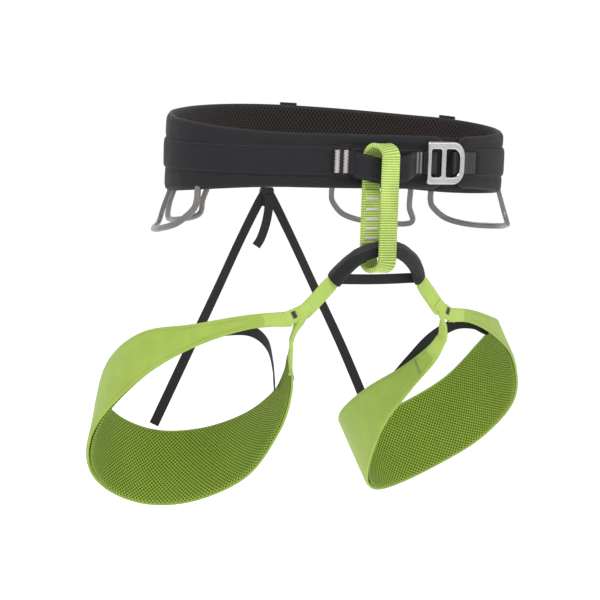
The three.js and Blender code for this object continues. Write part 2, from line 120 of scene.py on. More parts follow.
def smooth(points, count, fine=300):
    """Evenly spaced points on the Catmull-Rom curve through points."""
    return even(catmull(points, np.linspace(0, 1, fine)), count)


def loop_lengths(profile):
    """Running length round a closed profile."""
    return lengths(np.vstack([profile, profile[:1]]))


def across_run(x, scale=1.0):
    """Running length round a profile that is given by one coordinate, there and back."""
    return np.concatenate([[0], np.cumsum(np.abs(np.diff(np.append(x, x[0]))) * scale)])


def there_and_back(face, count):
    """A coordinate over the face of a layer, and then evenly back under it."""
    return np.concatenate([face, np.linspace(face[-1], face[0], count)[1:-1]])


def crowd(x, power):
    """Values from -1 to 1, moved towards the two ends."""
    return np.sign(x) * (1 - (1 - np.abs(x)) ** power)


def circle(count):
    """Evenly spaced angles of a full turn."""
    return np.linspace(0, 2 * math.pi, count + 1)[:-1]


def mirror(points, sx):
    """Points, or one point, on the wearer's left for sx = 1 and on the right for sx = -1."""
    return np.asarray(points, float) * [sx, 1, 1]


PLAN = catmull(HALF_PLAN + [(-x, y) for x, y in HALF_PLAN[-2:0:-1]], np.linspace(0, 1, 6001), True)
PLAN_S = lengths(PLAN)
GIRTH = PLAN_S[-1]


def share(s):
    """0 at the middle of the front, 1 at the middle of the back."""
    m = np.mod(s, GIRTH)
    return np.minimum(m, GIRTH - m) / (GIRTH / 2)


def half(s):
    """Half of the belt's height."""
    return (FRONT_HALF + (SIDE_HALF - FRONT_HALF) * step(share(s), 0.2, 0.62)
            + (BACK_HALF - SIDE_HALF) * step(share(s), 0.6, 1))


def mid(s):
    """Height of the belt's mid line, which rises towards the back."""
    return BACK_RISE * step(share(s), 0.35, 1)


def belt(s, out, z):
    """Points on the belt: s along it, out from its middle surface, z above its mid line."""
    s, out, z = np.broadcast_arrays(np.asarray(s, float), out, z)
    m = np.mod(s, GIRTH)
    ahead, behind = np.mod(s + 0.5, GIRTH), np.mod(s - 0.5, GIRTH)
    px, py = (np.interp(m, PLAN_S, x) for x in PLAN.T)
    tx, ty = (np.interp(ahead, PLAN_S, x) - np.interp(behind, PLAN_S, x) for x in PLAN.T)
    n = np.hypot(tx, ty)
    tx, ty = tx / n, ty / n
    return np.stack([px + ty * out, py - tx * out, mid(s) + z], -1)


def belt_axes(s):
    """Level directions along the belt and out of it."""
    a = belt(s + 0.5, 0, 0) - belt(s - 0.5, 0, 0)
    a[..., 2] = 0
    a = unit(a)
    return a, np.stack([a[..., 1], -a[..., 0], 0 * a[..., 0]], -1)


def ripple(p, scale, seed=0.0):
    """Smooth noise, about -1 to 1, at points p in millimetres."""
    flat = np.asarray(p, float).reshape(-1, 3) * scale + seed
    return np.array([noise.noise(q) for q in flat]).reshape(np.shape(p)[:-1])


# ---- mesh building ----
def add_object(name, data):
    ob = bpy.data.objects.new(name, data)
    bpy.context.scene.collection.objects.link(ob)
    return ob


def mesh_object(name, verts, faces, uvs):
    """A smooth mesh from points in millimetres, with the weave's lengths as its UV map."""
    me = bpy.data.meshes.new(name)
    me.from_pydata((np.asarray(verts) * MM).tolist(), [], faces)
    layer = me.uv_layers.new(name="UVMap")
    layer.data.foreach_set("uv", (np.asarray(uvs, float) * MM).ravel())
    me.polygons.foreach_set("use_smooth", [True] * len(me.polygons))
    me.update()
    return add_object(name, me)


def tube_volume(rings):
    """Volume inside a tube's wall, up to a factor; it is negative if the wall is inside out."""
    centre = rings.mean(axis=(0, 1))
    a = rings[:-1] - centre
    b = rings[1:] - centre
    next_a = np.roll(a, -1, 1)
    next_b = np.roll(b, -1, 1)
    return np.sum(a * np.cross(b, next_b)) + np.sum(a * np.cross(next_b, next_a))


def skin(name, rings, u, v, closed=False):
    """A tube through rings of points (count, around, 3); u and v are lengths for the weave."""
    rings = np.asarray(rings, float)
    n, m = rings.shape[:2]
    inside_out = tube_volume(rings) < 0
    faces, uvs = [], []
    for i in range(n if closed else n - 1):
        j = (i + 1) % n
        u1 = u[i + 1] if i + 1 < len(u) else u[-1] + u[1] - u[0]
        for q in range(m):
            r = (q + 1) % m
            quad = [(i * m + q, u[i], v[q]), (j * m + q, u1, v[q]),
                    (j * m + r, u1, v[q + 1]), (i * m + r, u[i], v[q + 1])]
            if inside_out:
                quad.reverse()
            faces.append([corner[0] for corner in quad])
            uvs.extend(corner[1:] for corner in quad)
    if not closed:
        for i in (0, n - 1):
            ring = list(range(i * m, i * m + m))
            if (i > 0) == inside_out:
                ring.reverse()
            faces.append(ring)
            uvs.extend((u[0], v[k]) for k in range(m))
    return mesh_object(name, rings.reshape(-1, 3), faces, uvs)


EDGE_TURNS = [k * math.pi / 2 for k in (0.35, 0.7, 1.0, 1.3, 1.65)]


def strap_ring(width, thick, edge=0.5, count=10, rim=0.0):
    """Cross-section of webbing with rounded edges, as (across, out) points and running lengths."""
    h, t = width / 2, thick / 2
    x = np.linspace(-h + edge, h - edge, count)
    body = t + rim * step(np.abs(x), h - 2.2, h - 1.2)
    pts = list(zip(x, body))
    pts += [(h - edge + edge * math.sin(a), t * math.cos(a)) for a in EDGE_TURNS]
    pts += zip(x[::-1], -body[::-1])
    pts += [(-h + edge - edge * math.sin(a), -t * math.cos(a)) for a in EDGE_TURNS]
    profile = np.array(pts)
    return profile, loop_lengths(profile)


def frames(path, across, closed=False):
    """Orthonormal across and out directions along a path."""
    t = unit(np.roll(path, -1, 0) - np.roll(path, 1, 0)) if closed else along(path)
    a = np.broadcast_to(np.asarray(across, float), path.shape)
    a = unit(a - t * np.sum(a * t, 1, keepdims=True))
    return a, unit(np.cross(t, a))


def strap(name, path, across, width, thick, offset=0.0, closed=False, edge=0.5, rim=0.0, wide=1.0,
          rib=0.0, pitch=1.2, count=10):
    """Webbing swept along a path; wide scales its width, and rib is the height of its cross ribs."""
    path = np.asarray(path, float)
    a, o = frames(path, across, closed)
    ring, run = strap_ring(width, thick, edge, count, rim)
    u = lengths(path)
    swell = rib * np.abs(np.sin(math.pi * u / pitch))
    if closed:
        u = np.append(u, u[-1] + np.linalg.norm(path[0] - path[-1]))
    w = np.broadcast_to(wide, len(path))
    sideways = ring[None, :, 0] * w[:, None]
    outwards = ring[None, :, 1] + np.sign(ring[None, :, 1]) * swell[:, None] + offset
    rings = path[:, None] + a[:, None] * sideways[..., None] + o[:, None] * outwards[..., None]
    return skin(name, rings, u, run, closed)


def ribbon(name, route, fine, count, across, width, thick, look, nodes=(), body="waist_belt"):
    """A plain strap along a route of listed points."""
    dress(strap(name, smooth(route, count, fine), across, width, thick), look, body, nodes)


# ---- stitches ----
THREAD_SIDES, THREAD_ROWS = 6, 5


def rod_faces():
    """Faces of one thread: its wall and its two ends."""
    m = THREAD_SIDES
    faces = []
    for r in range(THREAD_ROWS - 1):
        for i in range(m):
            j = (i + 1) % m
            faces.append([r * m + i, r * m + j, (r + 1) * m + j, (r + 1) * m + i])
    faces.append(list(range(m))[::-1])
    faces.append([(THREAD_ROWS - 1) * m + i for i in range(m)])
    return faces


def threads(name, starts, ends, lift, radius):
    """Short thread runs: each is a small arched rod from start to end."""
    side = unit(np.cross(unit(ends - starts), lift))
    turns = circle(THREAD_SIDES)
    rows = []
    for q in np.linspace(0, 1, THREAD_ROWS):
        arch = math.sin(math.pi * q)
        centre = starts + (ends - starts) * q + lift * (radius * (1.15 * arch - 0.35))
        r = radius * (0.75 + 0.25 * arch)
        rows.append(np.stack([centre + side * r * math.cos(a) + lift * r * math.sin(a) for a in turns], 1))
    verts = np.stack(rows, 1).reshape(-1, 3)
    rod = rod_faces()
    per = THREAD_SIDES * THREAD_ROWS
    faces = [[n * per + i for i in face] for n in range(len(starts)) for face in rod]
    return mesh_object(name, verts, faces, np.zeros((sum(map(len, faces)), 2)))


def seam(path, normal, length=2.3, gap=0.9):
    """Starts, ends and lift directions of a running stitch along a path."""
    s = lengths(path)
    n = max(1, int(s[-1] / (length + gap)))
    first = (np.arange(n) + 0.15) * s[-1] / n
    last = first + length

    def pick(x, values):
        return np.stack([np.interp(x, s, values[:, i]) for i in range(3)], 1)

    middle = (first + last) / 2
    lift = pick(middle, np.broadcast_to(normal, path.shape))
    return pick(first, path), pick(np.minimum(last, s[-1]), path), unit(lift)


def zigzag(p0, p1, across, normal, width, count):
    """Starts, ends and lift directions of a bar tack from p0 to p1."""
    line = p0 + (p1 - p0) * np.linspace(0, 1, count)[:, None]
    sign = np.where(np.arange(count) % 2, 1, -1)[:, None]
    pts = line + across * (width / 2) * sign
    return pts[:-1], pts[1:], np.broadcast_to(normal, (count - 1, 3))


def sew(name, rows, radius, look, body, nodes=()):
    """All the stitches in rows, each from seam or zigzag, as one piece."""
    starts, ends, lift = (np.vstack([row[i] for row in rows]) for i in range(3))
    dress(threads(name, starts, ends, lift, radius), look, body, nodes)


# ---- materials ----
def rgba(colour):
    """A colour with its alpha; a node's output stays as it is."""
    return (*colour, 1) if isinstance(colour, tuple) else colour


def darker(colour, factor):
    return tuple(factor * c for c in colour)


class Shade:
    """Builds the nodes of one material or world."""

    def __init__(self, name, kind="materials"):
        self.holder = getattr(bpy.data, kind).new(name)
        self.holder.use_nodes = True
        self.tree = self.holder.node_tree
        self.tree.nodes.clear()

    def put(self, socket, value):
        """Set a socket to a number or colour, or link a node's output to it."""
        if hasattr(value, "is_output"):
            self.tree.links.new(value, socket)
        else:
            socket.default_value = value

    def node(self, kind, settings=None, **inputs):
        """A node with its settings; inputs are named as its sockets, with _ for a space."""
        n = self.tree.nodes.new(kind)
        for key, value in (settings or {}).items():
            setattr(n, key, value)
        for key, value in inputs.items():
            self.put(n.inputs[key.replace("_", " ")], value)
        return n

    def math(self, op, a, b=0.0, c=0.0):
        n = self.node("ShaderNodeMath", {"operation": op})
        for socket, value in zip(n.inputs, (a, b, c)):
            self.put(socket, value)
        return n.outputs[0]

    def uv(self):
        x = self.node("ShaderNodeSeparateXYZ")
        self.put(x.inputs[0], self.node("ShaderNodeUVMap", {"uv_map": "UVMap"}).outputs[0])
        return x.outputs[0], x.outputs[1]

    def noise(self, scale, detail=3.0):
        spot = self.node("ShaderNodeTexCoord").outputs["Object"]
        return self.node("ShaderNodeTexNoise", Vector=spot, Scale=scale, Detail=detail).outputs["Fac"]

    def ramp(self, fac, low, high, a, b):
        n = self.node("ShaderNodeMapRange", {"interpolation_type": "SMOOTHSTEP"},
                      Value=fac, From_Min=low, From_Max=high, To_Min=a, To_Max=b)
        return n.outputs[0]

    def mix(self, fac, a, b):
        n = self.node("ShaderNodeMix", {"data_type": "RGBA"})
        for socket, value in ((0, fac), (6, rgba(a)), (7, rgba(b))):
            self.put(n.inputs[socket], value)
        return n.outputs[2]

    def bump(self, height, distance, strength=1.0, **normal):
        n = self.node("ShaderNodeBump", Distance=distance, Strength=strength, Height=height, **normal)
        return n.outputs[0]

    def wave(self, x, pitch, phase=0.0):
        """0 to 1 sine along x, a length in metres."""
        a = self.math("MULTIPLY_ADD", x, 2 * math.pi / pitch, phase)
        return self.math("MULTIPLY_ADD", self.math("SINE", a), 0.5, 0.5)

    def finish(self, colour, roughness, **inputs):
        shader = self.node("ShaderNodeBsdfPrincipled", Base_Color=rgba(colour), Roughness=roughness,
                           **inputs)
        self.node("ShaderNodeOutputMaterial", Surface=shader.outputs[0])
        return self.holder


def cloth(name, base, dark, pitch, sheen=0.25, rough=0.75, bump=0.00008):
    """Plain woven face fabric, with painted shade where the weave is low."""
    m = Shade(name)
    u, v = m.uv()
    weave = m.math("ABSOLUTE", m.math("SUBTRACT", m.wave(u, pitch), m.wave(v, pitch)))
    patch = m.noise(60.0, 4)
    fac = m.math("MULTIPLY_ADD", patch, 0.7, m.math("MULTIPLY", weave, 0.3))
    # The dark colour is painted shade where the weave is low, as in its bump, and random tone in the patches.
    colour = m.mix(m.ramp(fac, 0.3, 0.75, 0.0, 1.0), dark, base)
    fine = m.bump(weave, bump, 0.7)
    normal = m.bump(m.noise(190.0, 3), 0.0003, 0.35, Normal=fine)
    return m.finish(colour, m.ramp(patch, 0.3, 0.7, rough - 0.06, rough + 0.08), Normal=normal,
                    Sheen_Weight=sheen, Sheen_Roughness=0.45, Specular_IOR_Level=0.28)


def webbing(name, base, dark, pitch=0.0012, cross=0.0009, rough=0.6, sheen=0.02, depth=0.00025):
    """Ribbed webbing: ribs across, fine yarns along, with painted shade in the grooves."""
    m = Shade(name)
    u, v = m.uv()
    rib = m.wave(u, pitch)
    along_yarn = m.wave(v, cross, 0.7)
    twill = m.wave(m.math("ADD", m.math("MULTIPLY", u, 1.7), v), cross * 1.6)
    fine = m.math("MULTIPLY", m.math("MULTIPLY", along_yarn, twill), 0.4)
    weave = m.math("MULTIPLY_ADD", rib, 0.6, fine)
    patch = m.noise(45.0, 3)
    fac = m.math("MULTIPLY_ADD", weave, 0.65, m.math("MULTIPLY", patch, 0.5))
    # The dark colour is painted shade in the grooves, where the weave is low as in its bump, and random tone
    # in the patches.
    colour = m.mix(m.ramp(fac, 0.15, 0.8, 0.0, 1.0), dark, base)
    return m.finish(colour, m.ramp(weave, 0.0, 1.0, rough + 0.15, rough - 0.05),
                    Normal=m.bump(weave, depth, 0.8),
                    Sheen_Weight=sheen, Sheen_Roughness=0.4, Specular_IOR_Level=0.4)


def knit(name, base, dark, pitch=0.0038, hole=0.29):
    """Spacer mesh: staggered small holes in a knitted face, with painted shade in the holes."""
    m = Shade(name)
    u, v = m.uv()

    def cell(x, size, shift):
        return m.math("SUBTRACT", m.math("FRACT", m.math("MULTIPLY_ADD", x, 1 / size, shift)), 0.5)

    def lattice(shift):
        a = cell(u, pitch, shift)
        b = cell(v, pitch * 1.25, shift)
        tall = m.math("MULTIPLY", m.math("MULTIPLY", b, b), 1.1)
        return m.math("SQRT", m.math("ADD", m.math("MULTIPLY", a, a), tall))

    d = m.math("MINIMUM", lattice(0.0), lattice(0.5))
    face = m.ramp(d, hole * 0.55, hole * 1.25, 0.0, 1.0)
    strand = m.wave(m.math("ADD", u, v), 0.0011)
    patch = m.noise(38.0, 3)
    tone = m.math("MULTIPLY_ADD", strand, 0.25, m.math("MULTIPLY", patch, 0.5))
    # Painted shade: the holes take the dark colour and the strands' low parts are a little darker; the
    # patches are random tone.
    colour = m.mix(face, dark, m.mix(tone, darker(base, 0.72), base))
    height = m.math("MULTIPLY_ADD", face, 1.0, m.math("MULTIPLY", strand, 0.12))
    return m.finish(colour, 0.8, Normal=m.bump(height, 0.0006, 0.9),
                    Sheen_Weight=0.04, Sheen_Roughness=0.5, Specular_IOR_Level=0.15)


def coarse(name, base, dark, pitch=0.0017):
    """Abrasion-resistant cloth: thick crossing yarns, with painted shade where the weave is low."""
    m = Shade(name)
    u, v = m.uv()
    weave = m.math("ABSOLUTE", m.math("SUBTRACT", m.wave(u, pitch), m.wave(v, pitch)))
    patch = m.noise(70.0, 4)
    fac = m.math("MULTIPLY_ADD", weave, 0.6, m.math("MULTIPLY", patch, 0.4))
    # The dark colour is painted shade where the weave is low, as in its bump, and random tone in the patches.
    colour = m.mix(m.ramp(fac, 0.2, 0.8, 0.0, 1.0), dark, base)
    normal = m.bump(weave, 0.0003, 0.8, Normal=m.bump(m.noise(160.0, 4), 0.0004, 0.5))
    return m.finish(colour, m.ramp(patch, 0.3, 0.7, 0.5, 0.75), Normal=normal,
                    Sheen_Weight=0.1, Specular_IOR_Level=0.45)


def metal(name):
    """Light alloy with fine scuffs."""
    m = Shade(name)
    scuff = m.noise(420.0, 5)
    colour = m.mix(m.noise(60.0, 3), (0.40, 0.40, 0.40), (0.60, 0.60, 0.59))
    rough = m.math("MULTIPLY_ADD", m.ramp(scuff, 0.35, 0.75, 0.0, 1.0), 0.16, 0.14)
    return m.finish(colour, rough, Normal=m.bump(scuff, 0.00003, 0.3), Metallic=1.0)


def plastic(name):
    """Grey moulded plastic."""
    m = Shade(name)
    grain = m.noise(700.0, 3)
    colour = m.mix(m.noise(55.0, 3), (0.105, 0.097, 0.095), (0.18, 0.17, 0.165))
    return m.finish(colour, m.ramp(grain, 0.3, 0.7, 0.26, 0.42),
                    Normal=m.bump(grain, 0.00003, 0.35),
                    Subsurface_Weight=0.25, Subsurface_Scale=0.002, Coat_Weight=0.15)


def yarn(name, colour):
    """Sewing thread."""
    m = Shade(name)
    grain = m.noise(900.0, 2)
    return m.finish(m.mix(grain, darker(colour, 0.75), colour), 0.65,
                    Normal=m.bump(grain, 0.00005, 0.5), Sheen_Weight=0.3)


# Each look: the record's material slot, and the material.
# Second colours of cloth, webbing, knit and coarse: painted shade in weave grooves and mesh holes, plus
# random tone.
LOOKS = {
    "belt": ("belt_fabric", cloth("belt_fabric", (0.0165, 0.0160, 0.0185), (0.009, 0.009, 0.011),
                                  0.0006, 0.03, 0.74)),
    "belt_mesh": ("belt_mesh", knit("belt_mesh", (0.040, 0.031, 0.029), (0.004, 0.0032, 0.003))),
    "black_web": ("black_webbing", webbing("black_webbing", (0.011, 0.011, 0.013), (0.004, 0.004, 0.005),
                                           0.0013)),
    "binding": ("black_webbing", webbing("black_binding", (0.010, 0.010, 0.012), (0.005, 0.005, 0.007),
                                         0.0007, 0.0007, depth=0.0001)),
    "grey_web": ("grey_webbing", webbing("grey_webbing", (0.034, 0.034, 0.037), (0.006, 0.006, 0.008),
                                         0.0021, 0.0012, sheen=0.06, depth=0.0004)),
    "lime": ("lime_fabric", cloth("lime_fabric", (0.35, 0.485, 0.088), (0.29, 0.41, 0.062),
                                  0.00055, 0.06, 0.62, 0.00005)),
    "lime_mesh": ("lime_mesh", knit("lime_mesh", (0.33, 0.48, 0.055), (0.055, 0.10, 0.008))),
    "lime_web": ("lime_webbing", webbing("lime_webbing", (0.60, 0.78, 0.20), (0.13, 0.21, 0.015),
                                         0.0021, 0.0012, rough=0.5, sheen=0.05, depth=0.0006)),
    "lime_soft": ("lime_webbing", webbing("lime_link_webbing", (0.46, 0.61, 0.138), (0.27, 0.40, 0.055),
                                          0.0013, 0.0010, rough=0.55, sheen=0.05, depth=0.0002)),
    "sleeve": ("sleeve_fabric", cloth("sleeve_fabric", (0.012, 0.012, 0.014), (0.006, 0.006, 0.007),
                                      0.0007, 0.03, 0.62)),
    "coarse": ("sleeve_fabric", coarse("sleeve_band", (0.022, 0.022, 0.025), (0.004, 0.004, 0.005))),
    "elastic": ("elastic", webbing("elastic", (0.012, 0.0095, 0.012), (0.005, 0.004, 0.005),
                                   0.0009, 0.0006, depth=0.00012)),
    "plastic": ("loop_plastic", plastic("loop_plastic")),
    "metal": ("buckle_metal", metal("buckle_metal")),
    "white_thread": ("thread", yarn("pale_thread", (0.72, 0.66, 0.68))),
    "dull_thread": ("thread", yarn("dull_thread", (0.34, 0.29, 0.33))),
    "black_thread": ("black_webbing", yarn("black_thread", (0.02, 0.02, 0.022))),
    "green_thread": ("lime_webbing", yarn("green_thread", (0.26, 0.40, 0.10))),
    "label": ("black_webbing", cloth("label_cloth", (0.05, 0.055, 0.05), (0.03, 0.035, 0.03), 0.0005)),
}


def dress(ob, look, body=None, nodes=()):
    """Give a piece its material and its body, and hide the CAD nodes it stands for."""
    slot, material = LOOKS[look]
    ob.data.materials.clear()
    ob.data.materials.append(material)
    if nodes:
        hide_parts(*nodes)
    if body:
        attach(ob, body)
    return ob


# ---- waist belt ----
S0, S1 = WING_RIGHT_START - GIRTH, WING_LEFT_END
TIP = 14.0
BAND_REACH, BAND_GROOVE, SHOULDER_SEAM = 13.4, 11.0, 14.6
TABS = (("rear", GIRTH / 2 - 24), ("side", 252))
# Each gear loop: its ends along the belt and its drop, then its band's middle and half length.
GEAR_LOOPS = (("front_left", 163, 268, 28, 215, 58), ("rear_left", 286, 366, 33, 326, 48),
              ("front_right", -268, -163, 31, -215, 58), ("rear_right", -366, -286, 31, -326, 48))


def tip(s):
    """Share of the belt's height that is left near the rounded ends of its wings."""
    d = np.minimum(S1 - s, s - S0)
    x = np.clip((TIP - d) / TIP, 0, 1)
    return np.where(d >= TIP, 1.0, 0.55 + 0.45 * np.sqrt(np.clip(1 - x ** 2, 0, 1)))


def belt_stations(n=560):
    """Stations along the belt, closer together at the rounded wing tips."""
    inner = np.linspace(S0 + TIP, S1 - TIP, n)
    a = TIP * (1 - np.cos(np.linspace(0, math.pi / 2, 12)))
    return np.concatenate([S0 + a, inner[1:-1], (S1 - a)[::-1]])


def belt_layer(name, look, nodes, face, back, inset, rows=44):
    """Padded layer over the whole belt, with its face's and back's offsets from the middle surface."""
    s = belt_stations()
    h = half(s) * tip(s) - inset
    x = crowd(there_and_back(np.linspace(-1, 1, rows), 12), 1.25)
    z = h[:, None] * x[None]
    grid_s = np.broadcast_to(s[:, None], z.shape)
    edge = np.broadcast_to(1 - np.abs(x), z.shape)
    end = np.minimum(s - S0, S1 - s)[:, None]
    is_face = np.arange(len(x)) < rows
    out = np.where(is_face[None], face(grid_s, z, edge, end), back)
    return dress(skin(name, belt(grid_s, out, z), s - s[0], across_run(x, 32)), look, "waist_belt", nodes)


def crown(edge, end, low, high, soft):
    """Height of a padded face: thin at its edges, full in the middle."""
    rise = np.sqrt(np.clip(1 - (1 - np.clip(edge / soft, 0, 1)) ** 2.2, 0, 1))
    return low + (high - low) * rise * (0.35 + 0.65 * np.sqrt(np.clip(end / 7.0, 0, 1)))


def build_belt():
    def face(s, z, edge, end):
        valley = 0.55 * np.exp(-((np.abs(z) - 14.0) / 1.1) ** 2)
        p = np.stack([s, z, 0 * s], -1)
        tension = ripple(p * [1, 0.45, 1], 0.085) * 0.32 + ripple(p * [1, 0.25, 1], 0.2, 9.0) * 0.12
        return crown(edge, end, 1.2, SHELL, 0.2) - valley + tension * np.clip(edge * 5, 0, 1)

    def inner(s, z, edge, end):
        p = np.stack([s, z, 0 * s], -1)
        return -crown(edge, end, 1.0, LINER, 0.14) + 0.15 * ripple(p, 0.07, 4.0)

    belt_layer("belt_face", "belt", ["belt_shell"], face, GAP / 2, 0.4)
    belt_layer("belt_lining", "belt_mesh", ["belt_liner"], inner, -GAP / 2, 0.9)
    build_binding()
    build_band()
    build_flap()
    build_tabs()


def outline(n):
    """The belt's outline in (s, z), as a closed path."""
    s = belt_stations(700)
    h = half(s) * tip(s)
    ring = np.vstack([np.stack([s, h], 1), np.stack([s, -h], 1)[::-1]])
    return even(np.vstack([ring, ring[:1]]), n)[:-1]


def build_binding():
    """Folded tape along every edge of the belt."""
    ring = outline(1500)
    t = unit(np.roll(ring, -2, 0) - np.roll(ring, 2, 0))
    n = np.stack([-t[:, 1], t[:, 0]], 1)
    for _ in range(3):
        n = unit(n + np.roll(n, 1, 0) + np.roll(n, -1, 0))
    # A U that wraps the edge: (outward from the edge, off the belt's middle surface).
    over = [(-4.6, 2.1), (-3.0, 2.55), (-1.2, 2.3), (0.2, 1.5), (0.75, 0.4)]
    under = [(0.75, -0.4), (0.2, -1.5), (-1.2, -2.3), (-3.0, -2.5), (-4.6, -2.1)]
    inside = [(-4.6, -1.6), (-1.2, -1.5), (0.0, -0.3), (0.0, 0.3), (-1.2, 1.5), (-4.6, 1.6)]
    profile = np.array(over + under + inside)
    s = ring[:, :1] + n[:, :1] * profile[None, :, 0]
    z = ring[:, 1:] + n[:, 1:] * profile[None, :, 0]
    along_edge = lengths(ring)
    pucker = 0.12 * np.sin(along_edge * 2 * math.pi / 5.2)[:, None]
    pts = belt(s, profile[None, :, 1] * (1 + pucker * 0.25), z)
    u = np.append(along_edge, along_edge[-1] + 1)
    dress(skin("belt_binding", pts, u, loop_lengths(profile), True), "binding", "waist_belt")
    line = ring + n * -3.6
    path = belt(line[:, 0], 3.0, line[:, 1])
    rows = [seam(path, belt_axes(line[:, 0])[1], 2.4, 1.1)]
    sew("belt_edge_stitching", rows, 0.16, "black_thread", "waist_belt")


def wrap(name, s, low, high, t0, t1, n, edge=0.45):
    """A flat strip on the belt, from low to high across it and from t0 to t1 off it."""
    ring = strap_ring(2.0, 2.0, 0.2, n)[0]
    h, c, t0, t1 = (np.broadcast_to(x, s.shape) for x in ((high - low) / 2, (high + low) / 2, t0, t1))
    reach = np.abs(ring[:, 0])
    flat = ring[None, :, 0] / 0.8 * (h[:, None] - edge)
    rim = np.sign(ring[:, 0])[None] * (h[:, None] - edge + (reach[None] - 0.8) / 0.2 * edge)
    z = np.where(reach[None] > 0.8, rim, flat) + c[:, None]
    out = (t0 + t1)[:, None] / 2 + ring[None, :, 1] * (t1 - t0)[:, None] / 2
    pts = belt(s[:, None], out, z)
    middle = len(s) // 2
    profile = np.stack([pts[middle, :, 2], out[middle]], 1)
    return skin(name, pts, lengths(belt(s, (t0 + t1) / 2, c)), loop_lengths(profile))


def build_band():
    """The structural webbing under its cover: a low swell with sewn shoulders."""
    s = np.linspace(WING_RIGHT_START + 20 - GIRTH, -34, 620)
    x = crowd(np.linspace(-1, 1, 40), 1.5)
    z = BAND_REACH * x
    shoulder = ((1 - np.abs(x) ** 7) ** 0.6)[None]
    ends = np.minimum(step(s, s[0], s[0] + 5), 1 - step(s, s[-1] - 5, s[-1]))[:, None]
    grid = np.stack(np.broadcast_arrays(s[:, None], z[None], 0.0), -1)
    soft = 0.22 * ripple(grid * [1, 0.3, 1], 0.07, 2.0) + 0.1 * ripple(grid * [1, 0.5, 1], 0.25, 6.0)
    groove = 0.4 * np.exp(-((np.abs(z) - BAND_GROOVE) / 0.5) ** 2)[None]
    top = SHELL - 0.9 + (2.6 * ends) * shoulder + (soft - groove) * shoulder * ends
    under = np.full((len(s), 12), SHELL - 1.5)
    around = there_and_back(z, 14)
    pts = belt(s[:, None], np.concatenate([top, under], 1), around[None])
    band = skin("waist_band", pts, s - s[0], across_run(around))
    dress(band, "belt", "waist_belt", ["waist_webbing"])
    o = belt_axes(s)[1]
    rows = []
    for height, lift in ((BAND_GROOVE, SHELL + 1.25), (SHOULDER_SEAM, SHELL - 0.35)):
        rows += [seam(belt(s, lift, z), o, 2.1, 0.9) for z in (-height, height)]
    sew("waist_band_stitching", rows, 0.16, "black_thread", "waist_belt")


def build_flap():
    """Underlap behind the buckle, between the ends of the belt's two wings."""
    first, last = 38, 112
    s = np.linspace(first, last, 90)
    low = -FRONT_HALF - 3.2 * np.sin(math.pi * (s - first) / (last - first))
    flap = wrap("buckle_underlap", s, low, FRONT_HALF - 0.6, -LINER - 3.4, -LINER - GAP, 24, 1.4)
    dress(flap, "belt_mesh", "waist_belt", ["buckle_flap"])


def build_tabs():
    """Haul tabs over the belt's top edge, and the bands that hold the gear loops."""
    for name, at in TABS:
        s = np.linspace(at - 8, at + 8, 14)
        low, high = half(s) - 14, half(s) + 3.2
        tab = wrap(f"haul_tab_{name}_cloth", s, low, high, SHELL - 0.6, SHELL + GAP + 1.4, 10)
        dress(tab, "black_web", "waist_belt", [f"haul_tab_{name}"])
    for name, _, _, _, at, w in GEAR_LOOPS:
        s = np.linspace(at - w, at + w, 120)
        low, high = -half(s) + 1.4, -half(s) + 11
        tape = wrap(f"gear_band_{name}_tape", s, low, high, SHELL - 2.6, SHELL - 0.55, 12, 0.6)
        dress(tape, "binding", "waist_belt", [f"gear_band_{name}"])


# ---- tie-in ----
GUARD_START, GUARD_END = -34, 26
WEB_FACE = BUMP + 1.9


def tie_out(s):
    """How far the tie-in webbing stands off the belt."""
    return BUMP + 9.6 * step(s, -36.5, -23) * (1 - step(s, 12, 29))


def tie_drop(s):
    """How far its middle hangs below the belt's mid line."""
    return -6.5 * np.sin(math.pi * step(s, -46, 34))


def build_tie_in():
    s = np.linspace(-52, 35, 150)
    d, o = tie_drop(s), tie_out(s)
    strip = wrap("tie_in_strap", s, d - 10, d + 10, o, o + WEB_T, 14)
    dress(strip, "black_web", "waist_belt", ["tie_in_webbing"])
    build_guard()
    s = np.linspace(-36, 36, 60)
    pad = SHELL + 0.1
    backing = wrap("tie_in_backing", s, -WEB_HALF, WEB_HALF, pad, pad + 0.3 + WEB_T, 12)
    dress(backing, "black_web", "waist_belt", ["tie_in_base"])
    build_tacks("right", (-48.6, -40.8), 9.8, 4.6, 34, "white_thread")
    build_tacks("left", (29.4, 32.8), 9.2, 2.4, 30, "dull_thread")


def build_guard():
    """Crowned wear guard over the tie-in webbing."""
    s = np.linspace(GUARD_START, GUARD_END, 110)
    d, o = tie_drop(s), tie_out(s)
    x = crowd(np.linspace(-1, 1, 30), 1.4)
    grid = np.stack(np.broadcast_arrays(s[:, None], 10 * x[None], 0.0), -1)
    soft = 0.35 * ripple(grid * [1, 0.6, 1], 0.12, 4.0)
    ends = np.minimum(step(s, GUARD_START, GUARD_START + 3), 1 - step(s, GUARD_END - 3, GUARD_END))
    arch = (1 - np.abs(x[None]) ** 5) ** 0.5
    top = o[:, None] + 2.0 + (2.3 * arch + soft * arch) * (0.4 + 0.6 * ends[:, None])
    under = np.repeat(o[:, None] + 1.85, 12, 1)
    around = there_and_back(x, 14)
    height = d[:, None] - 1.3 + 11.2 * around[None]
    pts = belt(s[:, None], np.concatenate([top, under], 1), height)
    cover = skin("tie_in_cover", pts, s - s[0], across_run(around, 10))
    dress(cover, "belt", "waist_belt", ["tie_in_guard"])
    n = belt_axes(s)[1]
    rows = [seam(belt(s, o + 4.05, d + z), n, 1.7, 0.8) for z in (-10.4, -8.8, 6.2, 7.8)]
    sew("tie_in_stitching", rows, 0.17, "black_thread", "waist_belt")


